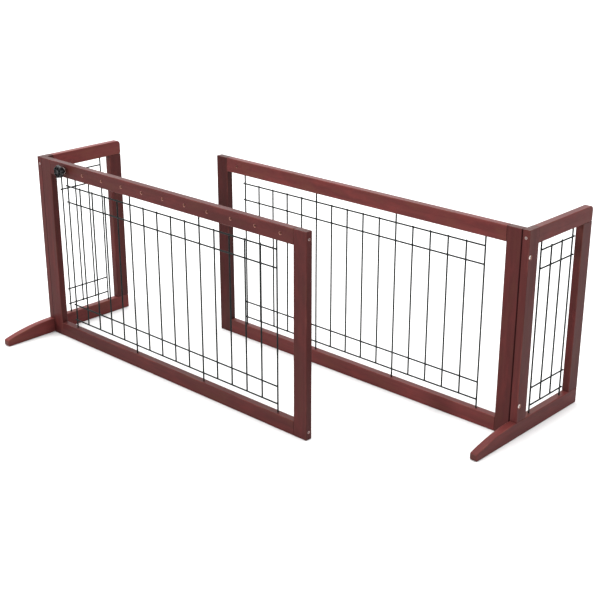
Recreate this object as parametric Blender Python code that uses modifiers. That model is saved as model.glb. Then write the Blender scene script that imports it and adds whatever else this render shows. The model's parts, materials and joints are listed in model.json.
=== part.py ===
"""Free-standing wooden pet gate in two L-shaped halves, set out apart before they are joined.

Each half is a long framed wire panel with a short framed wire wing bolted to its outer end.
The wing's bottom beam runs on forwards as a curved foot. In use the right panel lies behind
the left one, and a knob goes through one of a row of holes to hold the width.

Metres, +X along the panels, +Y away from the person in front, +Z up, floor at z = 0.
"""

import math

import bmesh
import bpy
from mathutils import Vector

# Driving sizes
GATE_HEIGHT = 0.510
PANEL_LENGTH = 0.980
BOARD = 0.0195
STILE_WIDTH = 0.040
RAIL_HEIGHT = 0.038
BEAM_HEIGHT = 0.040
WING_REACH = 0.272
FOOT_REACH = 0.155
FOOT_TIP_HEIGHT = 0.018
TOE_TOP_RADIUS = 0.006
TOE_BOTTOM_RADIUS = 0.005
RAIL_END_TOP_RADIUS = 0.010
RAIL_END_BOTTOM_RADIUS = 0.005
POST_SETBACK = 0.001
EDGE_RADIUS = 0.0018
EDGE_SEGMENTS = 2
GAP = 0.0003

# How far the right half stands from the left half
APART_X = 0.330
APART_Y = 0.342

# Wire grids
WIRE_RADIUS = 0.0020
WELD_SINK = 0.0004
CROSS_WIRE_TAIL = 0.003
WIRE_SOCKET = 0.008
OUTER_WIRE_RISE = 0.193
INNER_WIRE_RISE = 0.148
PANEL_WIRE_PITCH = 0.052
PANEL_WIRES = 16
PANEL_LONG_WIRES = (0, 5, 10, 15)
WING_WIRE_PITCH = 0.045
WING_WIRES = 4
WING_LONG_WIRES = (0, 3)

# Row of width holes in the left top rail, measured from the outer end
WIDTH_HOLES = 11
FIRST_WIDTH_HOLE = 0.100
WIDTH_STEP = 0.080
WIDTH_HOLE_RADIUS = 0.0037

# Wood screws, connecting bolts and their inserts
SCREW_LENGTH = 0.070
SCREW_HEAD_RADIUS = 0.0036
SCREW_HEAD_DEPTH = 0.0022
SCREW_SHANK_RADIUS = 0.0021
SCREW_POINT = 0.006
BOLT_LENGTH = 0.030
BOLT_HEAD_RADIUS = 0.0055
BOLT_HEAD_DEPTH = 0.0030
BOLT_CROWN_RADIUS = 0.0030
BOLT_CROWN_DROP = 0.0005
BOLT_SHOULDER_DROP = 0.0020
BOLT_SHANK_RADIUS = 0.0025
BOLT_HEIGHTS = (0.081, 0.446)
BOLT_END_CLEARANCE = 0.003
INSERT_RADIUS = 0.0042
INSERT_LENGTH = 0.014
DOWEL_RADIUS = 0.004
DOWEL_LENGTH = 0.050
DOWEL_CHAMFER = 0.001
FIT = 0.0004
BORE_SIDES = 12
CUTTER_LEAD = 0.002

# Lock knob
KNOB_RADIUS = 0.0180
KNOB_LOBE_DEPTH = 0.0024
KNOB_LOBES = 7
KNOB_POINTS_PER_LOBE = 6
KNOB_GRIP = 0.0095
KNOB_EDGE = 0.0020
KNOB_EDGE_DROP = 0.0016
KNOB_BOSS_RADIUS = 0.0085
KNOB_BOSS_LENGTH = 0.009
KNOB_BOSS_CHAMFER = 0.001
KNOB_HUB_HEIGHT = 0.0015
STUD_RADIUS = 0.003
STUD_IN_KNOB = 0.014
STUD_REACH = 0.039
STUD_CHAMFER = 0.001
WASHER_RADIUS = 0.0085
WASHER_THICKNESS = 0.0015
TEE_NUT_FLANGE_RADIUS = 0.008
TEE_NUT_FLANGE = 0.0015
TEE_NUT_BARREL_RADIUS = 0.0042
TEE_NUT_LENGTH = 0.011
TEE_NUT_PLACE = 0.078

OBJECT_NAME = "pet_gate"
CUTTER_NAME = "cutters"

WOOD = ("cherry_stained_wood", (0.105, 0.028, 0.022), 0.38, 0.0)
WIRE_STEEL = ("black_wire", (0.035, 0.040, 0.040), 0.45, 0.3)
ZINC = ("zinc_screw", (0.66, 0.62, 0.60), 0.35, 1.0)
BEECH = ("plain_dowel", (0.55, 0.38, 0.22), 0.60, 0.0)
KNOB_PLASTIC = ("black_knob", (0.018, 0.018, 0.018), 0.42, 0.0)


def clear_scene():
    """Remove every object, then every collection that this script makes."""
    for item in list(bpy.data.objects):
        bpy.data.objects.remove(item, do_unlink=True)
    for name in (OBJECT_NAME, CUTTER_NAME):
        old = bpy.data.collections.get(name)
        if old:
            bpy.data.collections.remove(old)


def make_collection(name):
    """A new collection under the scene's own."""
    made = bpy.data.collections.new(name)
    bpy.context.scene.collection.children.link(made)
    return made


def material(spec):
    """The Principled material for a (name, colour, roughness, metallic) spec."""
    name, colour, roughness, metallic = spec
    found = bpy.data.materials.get(name)
    if found:
        return found
    made = bpy.data.materials.new(name)
    made.use_nodes = True
    shader = made.node_tree.nodes["Principled BSDF"]
    shader.inputs["Base Color"].default_value = (*colour, 1.0)
    shader.inputs["Roughness"].default_value = roughness
    shader.inputs["Metallic"].default_value = metallic
    made.diffuse_color = (*colour, 1.0)
    return made


def add_object(name, mesh, spec, parent):
    """A named part in the object's collection, under its body's empty."""
    made = bpy.data.objects.new(name, mesh)
    bpy.data.collections[OBJECT_NAME].objects.link(made)
    made.data.materials.clear()
    made.data.materials.append(material(spec))
    made.parent = parent
    return made


def add_cutter(name, mesh, parent):
    """A hidden tool for Boolean modifiers, in the same space as the parts it cuts."""
    made = bpy.data.objects.new(name, mesh)
    bpy.data.collections[CUTTER_NAME].objects.link(made)
    made.parent = parent
    made.hide_render = True
    made.display_type = "WIRE"
    return made


def add_body(name, location, parent=None):
    """An empty that stands for one moving body."""
    made = bpy.data.objects.new(name, None)
    bpy.data.collections[OBJECT_NAME].objects.link(made)
    made.location = location
    made.parent = parent
    made.empty_display_size = 0.05
    return made


def round_edges(part, radius=EDGE_RADIUS, segments=EDGE_SEGMENTS):
    """Ease a part's sharp edges."""
    bevel = part.modifiers.new("eased_edges", "BEVEL")
    bevel.width = radius
    bevel.segments = segments
    bevel.limit_method = "ANGLE"
    bevel.angle_limit = math.radians(40)


def combine(part, tool, operation):
    """One exact Boolean step."""
    step = part.modifiers.new(tool.name, "BOOLEAN")
    step.operation = operation
    step.solver = "EXACT"
    step.object = tool


def board(name, low, high, parent):
    """A straight wooden member between two corners, with eased edges."""
    low, high = Vector(low), Vector(high)
    size = high - low
    mesh = bpy.data.meshes.new(name)
    shape = bmesh.new()
    bmesh.ops.create_cube(shape, size=1.0)
    bmesh.ops.scale(shape, vec=size, verts=shape.verts)
    shape.to_mesh(mesh)
    shape.free()
    part = add_object(name, mesh, WOOD, parent)
    part.location = (low + high) / 2
    round_edges(part)
    return part


def fillet(before, corner, after, radius, segments=4):
    """Points of an arc that rounds a corner of an outline in its own plane."""
    corner = Vector(corner)
    to_before = (Vector(before) - corner).normalized()
    to_after = (Vector(after) - corner).normalized()
    half_angle = to_before.angle(to_after) / 2
    setback = radius / math.tan(half_angle)
    centre = corner + (to_before + to_after).normalized() * radius / math.sin(half_angle)
    start = (corner + to_before * setback - centre).normalized()
    end = (corner + to_after * setback - centre).normalized()
    return [centre + start.slerp(end, step / segments) * radius for step in range(segments + 1)]


def outline_board(name, outline, low_x, parent):
    """A wooden member cut to a side outline of (y, z) points, one board thick in X."""
    curve = bpy.data.curves.new(name, "CURVE")
    curve.dimensions = "2D"
    curve.fill_mode = "BOTH"
    curve.extrude = BOARD / 2
    spline = curve.splines.new("POLY")
    spline.points.add(len(outline) - 1)
    for point, place in zip(spline.points, outline):
        point.co = (place[0], place[1], 0.0, 1.0)
    spline.use_cyclic_u = True
    mesh = mesh_from_curve(name, curve)
    flat = bmesh.new()
    flat.from_mesh(mesh)
    bmesh.ops.dissolve_limit(
        flat, angle_limit=math.radians(0.5), verts=flat.verts, edges=flat.edges
    )
    flat.to_mesh(mesh)
    flat.free()
    part = add_object(name, mesh, WOOD, parent)
    part.location = (low_x + BOARD / 2, 0.0, 0.0)
    part.rotation_euler = (math.radians(90), 0.0, math.radians(90))
    round_edges(part)
    return part


def mesh_from_curve(name, curve):
    """A closed mesh from a curve, with its caps welded on."""
    holder = bpy.data.objects.new(name + "_curve", curve)
    bpy.context.scene.collection.objects.link(holder)
    bpy.context.view_layer.update()
    evaluated = holder.evaluated_get(bpy.context.evaluated_depsgraph_get())
    mesh = bpy.data.meshes.new_from_object(evaluated)
    mesh.name = name
    bpy.data.objects.remove(holder, do_unlink=True)
    bpy.data.curves.remove(curve)
    weld = bmesh.new()
    weld.from_mesh(mesh)
    bmesh.ops.remove_doubles(weld, verts=weld.verts, dist=0.00001)
    bmesh.ops.recalc_face_normals(weld, faces=weld.faces)
    weld.to_mesh(mesh)
    weld.free()
    return mesh


def wires_mesh(name, runs):
    """Straight round wires, one closed body for each (start, end) run."""
    curve = bpy.data.curves.new(name, "CURVE")
    curve.dimensions = "3D"
    curve.bevel_depth = WIRE_RADIUS
    curve.bevel_resolution = 2
    curve.use_fill_caps = True
    for start, end in runs:
        spline = curve.splines.new("POLY")
        spline.points.add(1)
        spline.points[0].co = (*start, 1.0)
        spline.points[1].co = (*end, 1.0)
    return mesh_from_curve(name, curve)


def turned_mesh(name, profile, closed=False):
    """The edge line of a turned piece: (radius, height) points, top to bottom outside."""
    mesh = bpy.data.meshes.new(name)
    points = [(radius, 0.0, height) for radius, height in profile]
    edges = [(index, index + 1) for index in range(len(points) - 1)]
    if closed:
        edges.append((len(points) - 1, 0))
    mesh.from_pydata(points, edges, [])
    return mesh


def spin(part, sides):
    """Turn a profile about the part's own Z axis."""
    screw = part.modifiers.new("turned", "SCREW")
    screw.axis = "Z"
    screw.steps = sides
    screw.render_steps = sides
    screw.use_merge_vertices = True
    screw.merge_threshold = 0.00001
    screw.use_smooth_shade = False


def aim(part, start, direction):
    """Put a turned part's origin at start, with its -Z pointing along direction."""
    part.location = start
    part.rotation_euler = Vector(direction).to_track_quat("-Z", "Y").to_euler()


def turned_part(name, profile, start, direction, spec, parent, closed=False, sides=BORE_SIDES):
    """A turned piece that starts at a point and runs along a direction."""
    part = add_object(name, turned_mesh(name, profile, closed), spec, parent)
    spin(part, sides)
    aim(part, start, direction)
    return part


def drill(part, start, direction, steps, parent):
    """Cut a stepped round hole: (radius, depth) steps from the face at start inwards."""
    profile = [(0.0, CUTTER_LEAD)]
    height = CUTTER_LEAD
    for radius, depth in steps:
        profile.append((radius, height))
        height = -depth
        profile.append((radius, height))
    profile.append((0.0, height))
    name = f"bore_{len(bpy.data.collections[CUTTER_NAME].objects):03d}"
    tool = add_cutter(name, turned_mesh(name, profile), parent)
    spin(tool, BORE_SIDES)
    aim(tool, start, direction)
    combine(part, tool, "DIFFERENCE")
    return tool


def evenly(middle, pitch, count):
    """Places in a row, centred on the middle."""
    first = middle - pitch * (count - 1) / 2
    return [first + pitch * index for index in range(count)]


def wire_grid(name, across, long_wires, place, opening, parent):
    """A welded grid: uprights at each place across, four cross wires, long ones to the rails."""
    bottom, top = opening
    middle = (bottom + top) / 2
    behind = 2 * WIRE_RADIUS - WELD_SINK
    uprights = []
    for index, along in enumerate(across):
        reach = OUTER_WIRE_RISE + WIRE_RADIUS
        low, high = middle - reach, middle + reach
        if index in long_wires:
            low, high = bottom - WIRE_SOCKET, top + WIRE_SOCKET
        uprights.append((place(along, 0.0, low), place(along, 0.0, high)))
    cross_wires = []
    for rise in (-OUTER_WIRE_RISE, -INNER_WIRE_RISE, INNER_WIRE_RISE, OUTER_WIRE_RISE):
        start = place(across[0] - CROSS_WIRE_TAIL, -behind, middle + rise)
        end = place(across[-1] + CROSS_WIRE_TAIL, -behind, middle + rise)
        cross_wires.append((start, end))
    grid = add_object(name, wires_mesh(name, uprights), WIRE_STEEL, parent)
    tool = add_cutter(name + "_cross_wires", wires_mesh(name + "_cross_wires", cross_wires), parent)
    combine(grid, tool, "UNION")
    return grid


def wood_screw(name, start, direction, parts, parent):
    """A flat-headed screw through the first part into the second, each bored for it."""
    neck = SCREW_HEAD_DEPTH + SCREW_HEAD_RADIUS - SCREW_SHANK_RADIUS
    tip = SCREW_LENGTH - SCREW_POINT
    profile = (
        (0.0, 0.0),
        (SCREW_HEAD_RADIUS, 0.0),
        (SCREW_HEAD_RADIUS, -SCREW_HEAD_DEPTH),
        (SCREW_SHANK_RADIUS, -neck),
        (SCREW_SHANK_RADIUS, -tip),
        (0.0, -SCREW_LENGTH),
    )
    direction = Vector(direction)
    head = Vector(start) + direction * GAP
    turned_part(name, profile, head, direction, ZINC, parent, sides=10)
    head_bore = (SCREW_HEAD_RADIUS + FIT, neck + FIT)
    shank_bore = (SCREW_SHANK_RADIUS + FIT, SCREW_LENGTH + 2 * FIT)
    through, into = parts
    drill(through, start, direction, (head_bore, shank_bore), parent)
    drill(into, start, direction, (shank_bore,), parent)


def connecting_bolt(name, start, direction, post, stile, parent):
    """A button-headed bolt through the wing's post into a threaded insert in the stile."""
    direction = Vector(direction)
    profile = (
        (0.0, 0.0),
        (BOLT_CROWN_RADIUS, -BOLT_CROWN_DROP),
        (BOLT_HEAD_RADIUS, -BOLT_SHOULDER_DROP),
        (BOLT_HEAD_RADIUS, -BOLT_HEAD_DEPTH),
        (BOLT_SHANK_RADIUS, -BOLT_HEAD_DEPTH),
        (BOLT_SHANK_RADIUS, -BOLT_LENGTH),
        (0.0, -BOLT_LENGTH),
    )
    head = Vector(start) + direction * GAP
    turned_part(name + "_bolt", profile, head, direction, ZINC, parent)
    post_bores = (
        (BOLT_HEAD_RADIUS + FIT, BOLT_HEAD_DEPTH + FIT + GAP),
        (BOLT_SHANK_RADIUS + FIT, BOARD + BOLT_END_CLEARANCE),
    )
    drill(post, start, direction, post_bores, parent)

    mouth = Vector(start) + direction * (BOARD + 2 * GAP)
    sleeve = (
        (BOLT_SHANK_RADIUS + FIT, 0.0),
        (INSERT_RADIUS, 0.0),
        (INSERT_RADIUS, -INSERT_LENGTH),
        (BOLT_SHANK_RADIUS + FIT, -INSERT_LENGTH),
    )
    turned_part(name + "_insert", sleeve, mouth, direction, ZINC, parent, closed=True)
    drill(stile, mouth, direction, ((INSERT_RADIUS + FIT, INSERT_LENGTH + FIT),), parent)


def foot_beam_outline():
    """Side outline of the wing's bottom beam: level under the wing, curving down to the toe."""
    drop = BEAM_HEIGHT - FOOT_TIP_HEIGHT
    sweep = (FOOT_REACH ** 2 + drop ** 2) / (2 * drop)
    segments = 9
    top = []
    for index in range(segments):
        y = -FOOT_REACH * index / segments
        top.append((y, BEAM_HEIGHT - sweep + math.sqrt(sweep ** 2 - y ** 2)))
    toe_top = (-FOOT_REACH, FOOT_TIP_HEIGHT)
    toe_bottom = (-FOOT_REACH, 0.0)
    end_bottom = (WING_REACH, 0.0)
    outline = [(WING_REACH, BEAM_HEIGHT)]
    outline += top
    outline += fillet(top[-1], toe_top, toe_bottom, TOE_TOP_RADIUS)
    outline += fillet(toe_top, toe_bottom, end_bottom, TOE_BOTTOM_RADIUS)
    outline.append(end_bottom)
    return outline


def wing_rail_outline(front):
    """Side outline of the wing's top rail, rounded where it ends over the far post."""
    low, high = GATE_HEIGHT - RAIL_HEIGHT, GATE_HEIGHT
    far_top, far_bottom = (WING_REACH, high), (WING_REACH, low)
    outline = [(front, low), (front, high)]
    outline += fillet((front, high), far_top, far_bottom, RAIL_END_TOP_RADIUS)
    outline += fillet(far_top, far_bottom, (front, low), RAIL_END_BOTTOM_RADIUS)
    return outline


def build_panel(side, across, inward, body):
    """The long framed wire panel; across turns a distance from the outer end into X."""
    middle_y = BOARD / 2

    def member(name, start, end, low, high):
        x_low, x_high = sorted((across(start), across(end)))
        return board(f"{side}_panel_{name}", (x_low, 0.0, low), (x_high, BOARD, high), body)

    rail_start = STILE_WIDTH + GAP
    rail_end = PANEL_LENGTH - STILE_WIDTH - GAP
    outer_stile = member("outer_stile", 0.0, STILE_WIDTH, 0.0, GATE_HEIGHT)
    inner_stile = member("inner_stile", PANEL_LENGTH - STILE_WIDTH, PANEL_LENGTH, 0.0, GATE_HEIGHT)
    top_rail = member("top_rail", rail_start, rail_end, GATE_HEIGHT - RAIL_HEIGHT, GATE_HEIGHT)
    bottom_rail = member("bottom_rail", rail_start, rail_end, 0.0, RAIL_HEIGHT)

    opening = (RAIL_HEIGHT, GATE_HEIGHT - RAIL_HEIGHT)
    places = evenly(PANEL_LENGTH / 2, PANEL_WIRE_PITCH, PANEL_WIRES)
    wire_grid(f"{side}_panel_wire_grid", places, PANEL_LONG_WIRES,
              lambda along, depth, up: (along, middle_y + depth, up), opening, body)
    socket = ((WIRE_RADIUS + FIT, WIRE_SOCKET + GAP),)
    for index in PANEL_LONG_WIRES:
        drill(bottom_rail, (places[index], middle_y, opening[0]), (0, 0, -1), socket, body)
        drill(top_rail, (places[index], middle_y, opening[1]), (0, 0, 1), socket, body)

    for height, level, rail in (
        (RAIL_HEIGHT / 2, "bottom", bottom_rail),
        (GATE_HEIGHT - RAIL_HEIGHT / 2, "top", top_rail),
    ):
        wood_screw(f"{side}_panel_screw_outer_{level}", (across(0.0), middle_y, height),
                   inward, (outer_stile, rail), body)
        wood_screw(f"{side}_panel_screw_inner_{level}", (across(PANEL_LENGTH), middle_y, height),
                   -inward, (inner_stile, rail), body)
    return top_rail, outer_stile


def build_wing(side, across, inward, outer_stile, body):
    """The short framed wire wing, with its beam and foot, bolted to the panel's outer stile."""
    near_x, far_x = sorted((across(-GAP), across(-GAP - BOARD)))
    middle_x = (near_x + far_x) / 2
    lift = BEAM_HEIGHT + GAP
    rail_bottom = GATE_HEIGHT - RAIL_HEIGHT
    far_front = WING_REACH - STILE_WIDTH

    near_post = board(f"{side}_wing_near_post", (near_x, POST_SETBACK, lift),
                      (far_x, STILE_WIDTH, GATE_HEIGHT), body)
    far_post = board(f"{side}_wing_far_post", (near_x, far_front, lift),
                     (far_x, WING_REACH, rail_bottom - GAP), body)
    top_rail = outline_board(f"{side}_wing_top_rail", wing_rail_outline(STILE_WIDTH + GAP),
                             near_x, body)
    beam = outline_board(f"{side}_wing_foot_beam", foot_beam_outline(), near_x, body)

    opening = (BEAM_HEIGHT, rail_bottom)
    places = evenly((STILE_WIDTH + far_front) / 2, WING_WIRE_PITCH, WING_WIRES)
    outward = -inward.x
    wire_grid(f"{side}_wing_wire_grid", places, WING_LONG_WIRES,
              lambda along, depth, up: (middle_x - outward * depth, along, up), opening, body)
    socket = ((WIRE_RADIUS + FIT, WIRE_SOCKET + GAP),)
    for index in WING_LONG_WIRES:
        drill(beam, (middle_x, places[index], opening[0]), (0, 0, -1), socket, body)
        drill(top_rail, (middle_x, places[index], opening[1]), (0, 0, 1), socket, body)

    post_middles = (STILE_WIDTH / 2, WING_REACH - STILE_WIDTH / 2)
    wood_screw(f"{side}_wing_screw_front", (middle_x, POST_SETBACK, GATE_HEIGHT - RAIL_HEIGHT / 2),
               (0, 1, 0), (near_post, top_rail), body)
    wood_screw(f"{side}_wing_screw_near_base", (middle_x, post_middles[0], 0.0),
               (0, 0, 1), (beam, near_post), body)
    wood_screw(f"{side}_wing_screw_far_base", (middle_x, post_middles[1], 0.0),
               (0, 0, 1), (beam, far_post), body)

    half_dowel = DOWEL_LENGTH / 2
    dowel_top = (middle_x, post_middles[1], rail_bottom + half_dowel)
    dowel_profile = (
        (0.0, 0.0),
        (DOWEL_RADIUS - DOWEL_CHAMFER, 0.0),
        (DOWEL_RADIUS, -DOWEL_CHAMFER),
        (DOWEL_RADIUS, DOWEL_CHAMFER - DOWEL_LENGTH),
        (DOWEL_RADIUS - DOWEL_CHAMFER, -DOWEL_LENGTH),
        (0.0, -DOWEL_LENGTH),
    )
    turned_part(f"{side}_wing_dowel", dowel_profile, dowel_top, (0, 0, -1), BEECH, body)
    dowel_bore = ((DOWEL_RADIUS + FIT, half_dowel + 2 * GAP),)
    joint = (middle_x, post_middles[1], rail_bottom)
    drill(top_rail, joint, (0, 0, 1), dowel_bore, body)
    drill(far_post, joint, (0, 0, -1), dowel_bore, body)

    for level, height in zip(("lower", "upper"), BOLT_HEIGHTS):
        outer_face = (across(-GAP - BOARD), BOARD / 2, height)
        connecting_bolt(f"{side}_wing_{level}", outer_face, inward, near_post, outer_stile, body)


def build_half(side, location):
    """One L-shaped half; the outer end, with the wing, is the left end of the left half."""
    body = add_body(f"{side}_half", location)
    if side == "left":
        inward = Vector((1.0, 0.0, 0.0))
        across = lambda distance: distance
    else:
        inward = Vector((-1.0, 0.0, 0.0))
        across = lambda distance: PANEL_LENGTH - distance
    top_rail, outer_stile = build_panel(side, across, inward, body)
    build_wing(side, across, inward, outer_stile, body)
    return body, top_rail


def knob_mesh(name):
    """The lobed grip of a star knob, its axis on Z and its back one boss length above z = 0."""
    curve = bpy.data.curves.new(name, "CURVE")
    curve.dimensions = "2D"
    curve.fill_mode = "BOTH"
    curve.extrude = KNOB_GRIP / 2
    spline = curve.splines.new("POLY")
    count = KNOB_LOBES * KNOB_POINTS_PER_LOBE
    spline.points.add(count - 1)
    for index, point in enumerate(spline.points):
        turn = 2 * math.pi * index / count
        radius = KNOB_RADIUS - KNOB_LOBE_DEPTH * (1 - math.cos(KNOB_LOBES * turn)) / 2
        point.co = (radius * math.cos(turn), radius * math.sin(turn), 0.0, 1.0)
    spline.use_cyclic_u = True
    mesh = mesh_from_curve(name, curve)
    flat = bmesh.new()
    flat.from_mesh(mesh)
    bmesh.ops.dissolve_limit(
        flat, angle_limit=math.radians(0.5), verts=flat.verts, edges=flat.edges
    )
    bmesh.ops.translate(flat, vec=(0.0, 0.0, KNOB_BOSS_LENGTH + KNOB_GRIP / 2), verts=flat.verts)
    front = max(flat.faces, key=lambda face: face.calc_center_median().z)
    rim = list(front.verts)
    bmesh.ops.inset_region(flat, faces=[front], thickness=KNOB_EDGE, depth=0.0)
    for vert in rim:
        vert.co.z -= KNOB_EDGE_DROP
    flat.to_mesh(mesh)
    flat.free()
    return mesh


def build_lock_knob(left_half, left_top_rail, right_half, right_top_rail):
    """The lock knob, its stud and washer at the first hole, and the tee nut they screw into."""
    height = GATE_HEIGHT - RAIL_HEIGHT / 2
    through = ((WIDTH_HOLE_RADIUS, BOARD + CUTTER_LEAD),)
    hole = drill(left_top_rail, (FIRST_WIDTH_HOLE, 0.0, height), (0, 1, 0), through, left_half)
    row = hole.modifiers.new("row_of_holes", "ARRAY")
    row.count = WIDTH_HOLES
    row.use_relative_offset = False
    row.use_constant_offset = True
    row.constant_offset_displace = (WIDTH_STEP, 0.0, 0.0)

    first_hole = left_half.location + Vector((FIRST_WIDTH_HOLE, 0.0, height))
    washer_body = add_body("washer_body", first_hole)
    knob_body = add_body("knob_body", first_hole)

    washer_profile = (
        (STUD_RADIUS + FIT, 0.0),
        (WASHER_RADIUS, 0.0),
        (WASHER_RADIUS, -WASHER_THICKNESS),
        (STUD_RADIUS + FIT, -WASHER_THICKNESS),
    )
    turned_part("knob_washer", washer_profile, (0.0, -GAP, 0.0), (0, -1, 0), ZINC,
                washer_body, closed=True, sides=16)

    knob_back = -WASHER_THICKNESS - 2 * GAP
    knob = add_object("lock_knob", knob_mesh("lock_knob"), KNOB_PLASTIC, knob_body)
    knob.location = (0.0, knob_back, 0.0)
    knob.rotation_euler = (math.radians(90), 0.0, 0.0)
    hub_front = KNOB_BOSS_LENGTH + KNOB_GRIP + KNOB_HUB_HEIGHT
    boss_profile = (
        (0.0, hub_front),
        (KNOB_BOSS_RADIUS - KNOB_BOSS_CHAMFER, hub_front),
        (KNOB_BOSS_RADIUS, hub_front - KNOB_BOSS_CHAMFER),
        (KNOB_BOSS_RADIUS, KNOB_BOSS_CHAMFER),
        (KNOB_BOSS_RADIUS - KNOB_BOSS_CHAMFER, 0.0),
        (0.0, 0.0),
    )
    boss = add_cutter("knob_boss", turned_mesh("knob_boss", boss_profile), knob_body)
    spin(boss, 20)
    boss.location = knob.location
    boss.rotation_euler = knob.rotation_euler
    combine(knob, boss, "UNION")

    stud_profile = (
        (0.0, 0.0),
        (STUD_RADIUS, 0.0),
        (STUD_RADIUS, STUD_CHAMFER - STUD_IN_KNOB - STUD_REACH),
        (STUD_RADIUS - STUD_CHAMFER, -STUD_IN_KNOB - STUD_REACH),
        (0.0, -STUD_IN_KNOB - STUD_REACH),
    )
    stud_start = (0.0, knob_back - STUD_IN_KNOB, 0.0)
    turned_part("knob_stud", stud_profile, stud_start, (0, 1, 0), ZINC, knob_body)
    drill(knob, (0.0, knob_back, 0.0), (0, -1, 0),
          ((STUD_RADIUS + FIT, STUD_IN_KNOB + GAP),), knob_body)

    nut_profile = (
        (STUD_RADIUS + FIT, 0.0),
        (TEE_NUT_FLANGE_RADIUS, 0.0),
        (TEE_NUT_FLANGE_RADIUS, -TEE_NUT_FLANGE),
        (TEE_NUT_BARREL_RADIUS, -TEE_NUT_FLANGE),
        (TEE_NUT_BARREL_RADIUS, -TEE_NUT_LENGTH),
        (STUD_RADIUS + FIT, -TEE_NUT_LENGTH),
    )
    turned_part("tee_nut", nut_profile, (TEE_NUT_PLACE, BOARD - GAP, height), (0, -1, 0), ZINC,
                right_half, closed=True)
    nut_bores = (
        (TEE_NUT_FLANGE_RADIUS + FIT, TEE_NUT_FLANGE + 2 * GAP),
        (TEE_NUT_BARREL_RADIUS + FIT, TEE_NUT_LENGTH + 2 * GAP),
        (STUD_RADIUS + FIT, BOARD + CUTTER_LEAD),
    )
    drill(right_top_rail, (TEE_NUT_PLACE, BOARD, height), (0, -1, 0), nut_bores, right_half)


def shade_round(part):
    """Smooth shading with the sharp edges kept."""
    part.data.shade_smooth()
    if part.data.polygons:
        part.data.set_sharp_from_angle(angle=math.radians(35))


def main():
    clear_scene()
    make_collection(OBJECT_NAME)
    make_collection(CUTTER_NAME)

    overall_x = PANEL_LENGTH + 2 * (GAP + BOARD) + APART_X
    overall_y = FOOT_REACH + WING_REACH + APART_Y
    left_place = Vector((GAP + BOARD - overall_x / 2, FOOT_REACH - overall_y / 2, 0.0))
    right_place = left_place + Vector((APART_X, APART_Y, 0.0))

    left_half, left_top_rail = build_half("left", left_place)
    right_half, right_top_rail = build_half("right", right_place)
    build_lock_knob(left_half, left_top_rail, right_half, right_top_rail)
    for part in bpy.data.collections[OBJECT_NAME].objects:
        if part.type == "MESH":
            shade_round(part)


main()
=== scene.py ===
"""Looks of the free-standing wooden pet gate: fine boards, welded wire, fasteners, knob and studio.

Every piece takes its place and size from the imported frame, in metres, +Z up. Each one stands for
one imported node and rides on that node's body.
"""

import json
import math

import bmesh
import bpy
from mathutils import Matrix, Vector


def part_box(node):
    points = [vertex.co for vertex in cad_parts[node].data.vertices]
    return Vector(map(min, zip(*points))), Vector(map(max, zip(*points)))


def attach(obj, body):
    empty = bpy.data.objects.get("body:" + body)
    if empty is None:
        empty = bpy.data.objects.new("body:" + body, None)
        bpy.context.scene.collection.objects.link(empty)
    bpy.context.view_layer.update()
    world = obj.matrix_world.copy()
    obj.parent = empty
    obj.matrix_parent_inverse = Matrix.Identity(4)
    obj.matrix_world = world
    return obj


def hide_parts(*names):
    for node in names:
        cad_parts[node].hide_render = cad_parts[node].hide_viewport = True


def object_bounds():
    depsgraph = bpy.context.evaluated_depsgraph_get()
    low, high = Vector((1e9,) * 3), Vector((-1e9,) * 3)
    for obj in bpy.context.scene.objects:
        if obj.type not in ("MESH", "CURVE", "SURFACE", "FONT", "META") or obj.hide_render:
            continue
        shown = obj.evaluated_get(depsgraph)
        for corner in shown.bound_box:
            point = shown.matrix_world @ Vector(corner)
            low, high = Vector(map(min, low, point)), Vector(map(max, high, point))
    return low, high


# Camera: where it stands and what it looks at, from the centre of the object's box
CAMERA_AZIMUTH = 43.07
CAMERA_ELEVATION = 20.96
CAMERA_DISTANCE = 2.9204
CAMERA_LENS = 70.39
CAMERA_AIM = (0.1172, -0.0276, -0.0133)

# Light: a pale floor, an even surround, and lamps given by (direction, energy, spread in degrees)
FLOOR_ALBEDO = 0.60
WORLD_STRENGTH = 0.93
LAMPS = {
    "overhead": ((-0.05, 0.05, 1.0), 4.6, 60.0),
    "front_left": ((-0.40, -0.86, 0.31), 2.2, 10.0),
    "backdrop": ((-0.64, 0.68, 0.42), 0.9, 60.0),
}

# Edges that turn by more than these angles, in degrees, shade sharp
SHARP_ANGLE = 35.0
ROUND_PIECE_SHARP_ANGLE = 50.0

# Boards
ARRIS = 0.0018
ARRIS_SEGMENTS = 4
CLOSED_ARRIS = 0.0003
EXPOSED_END = 0.0013
BUTTED_END = 0.0003
FOOT_TIP_HEIGHT = 0.018
TOE_TOP_RADIUS = 0.006
TOE_BOTTOM_RADIUS = 0.005
WING_RAIL_NOSE = 0.010
WING_RAIL_UNDER_CORNER = 0.005
OUTLINE_CORNER = 0.003

# Bores: gap round what sits in them, eased mouth, and how far a cutter starts outside the wood
BORE_CLEARANCE = 0.0004
BORE_LIP = 0.0002
BORE_LEAD = 0.004
BORE_SIDES = 32

# Wire grids
PANEL_UPRIGHTS = 16
PANEL_LONG_UPRIGHTS = (0, 5, 10, 15)
WING_UPRIGHTS = 4
WING_LONG_UPRIGHTS = (0, 3)
WIRE_RADIUS = 0.0020
WIRE_TAIL = 0.003
WIRE_SIDES = 14
WIRE_STEP = 0.030
WIRE_BOW = 0.0003
WIRE_CUT_END = ((0.0, 0.0), (0.0, 0.55), (0.0004, 0.90), (0.0011, 1.0))
WIRE_SOCKET_DEPTH = 0.0085
WELD_RADIUS = 0.0021
WELD_SINK = 0.0004
WELD_FLATNESS = 0.62
WELD_RINGS = 6
WELD_SIDES = 12
OUTER_WIRE_RISE = 0.193
INNER_WIRE_RISE = 0.148

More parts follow.
